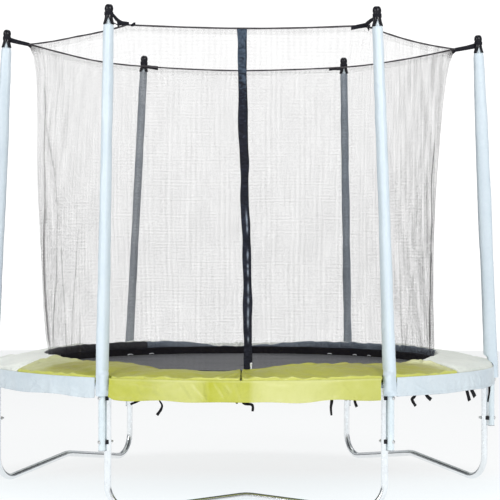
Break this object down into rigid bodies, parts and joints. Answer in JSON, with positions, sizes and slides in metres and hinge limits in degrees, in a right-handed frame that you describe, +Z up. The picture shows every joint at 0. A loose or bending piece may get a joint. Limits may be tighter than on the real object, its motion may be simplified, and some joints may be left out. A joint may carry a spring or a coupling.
{
  "type": "trampoline",
  "caption": "Round garden trampoline on W-shaped tube legs, with a sprung jumping mat, padded spring cover and an inner safety net with a zipped door, held by padded poles.",
  "frame": {"origin": "on the ground, under the centre of the jumping mat", "axes": "+Z up; -Y towards the door; +X to the right seen from the door"},
  "size_m": [2.5329, 2.507, 2.223],
  "materials": {
    "galvanised_tube": "satin",
    "white_tube": "gloss",
    "sleeve_cover": "satin",
    "black_plastic": "gloss",
    "grey_plastic": "matte",
    "zinc_fasteners": "satin",
    "zinc_wire": "satin",
    "mat_fabric": "matte",
    "black_webbing": "matte",
    "lime_cover": "satin",
    "pale_cover": "satin",
    "net_mesh": "matte",
    "zip_metal": "satin",
    "white_plastic": "gloss",
    "black_cord": "matte"
  },
  "bodies": {
    "frame": {"leg_front": "galvanised_tube", "leg_left": "galvanised_tube", "leg_right": "galvanised_tube", "rail_front": "galvanised_tube", "rail_right_front": "galvanised_tube", "rail_right_back": "galvanised_tube", "rail_back": "galvanised_tube", "rail_left_back": "galvanised_tube", "rail_left_front": "galvanised_tube", "leg_sockets": "galvanised_tube", "pole_fl": "white_tube", "sleeve_fl": "sleeve_cover", "cap_fl": "black_plastic", "pole_fr": "white_tube", "sleeve_fr": "sleeve_cover", "cap_fr": "black_plastic", "pole_r": "white_tube", "sleeve_r": "sleeve_cover", "cap_r": "black_plastic", "pole_br": "white_tube", "sleeve_br": "sleeve_cover", "cap_br": "black_plastic", "pole_bl": "white_tube", "sleeve_bl": "sleeve_cover", "cap_bl": "black_plastic", "pole_l": "white_tube", "sleeve_l": "sleeve_cover", "cap_l": "black_plastic", "upper_poles": "white_tube", "pole_end_plugs": "grey_plastic", "pole_spacers": "black_plastic", "pole_bolts": "zinc_fasteners", "pole_nuts": "zinc_fasteners", "springs": "zinc_wire", "pad_front_left": "lime_cover", "pad_front_right": "lime_cover", "skirt_front": "lime_cover", "pad_right": "pale_cover", "pad_back_right": "pale_cover", "pad_back_left": "pale_cover", "pad_left": "pale_cover", "skirt_right_front": "pale_cover", "skirt_right_back": "pale_cover", "skirt_back": "pale_cover", "skirt_left_back": "pale_cover", "skirt_left_front": "pale_cover", "net": "net_mesh", "net_top_cord": "black_webbing", "corner_straps": "black_webbing", "door_strip": "black_webbing", "pad_ties": "black_cord"},
    "mat": {"mat": "mat_fabric", "mat_webbing": "black_webbing", "v_rings": "zinc_wire", "net_border": "black_webbing"},
    "zip": {"zip_slider": "zip_metal", "zip_pull": "white_plastic"}
  },
  "joints": [
    {"name": "mat_bounce", "type": "slide", "parent": "frame", "child": "mat", "axis": [0, 0, 1], "range_m": [-0.16, 0], "stiffness_N_per_m": 5000, "springref_m": 0.03, "deforming": ["springs"]},
    {"name": "zip_slide", "type": "slide", "parent": "frame", "child": "zip", "axis": [-0.0167, 0.0254, 0.9995], "range_m": [0, 1.43]}
  ]
}
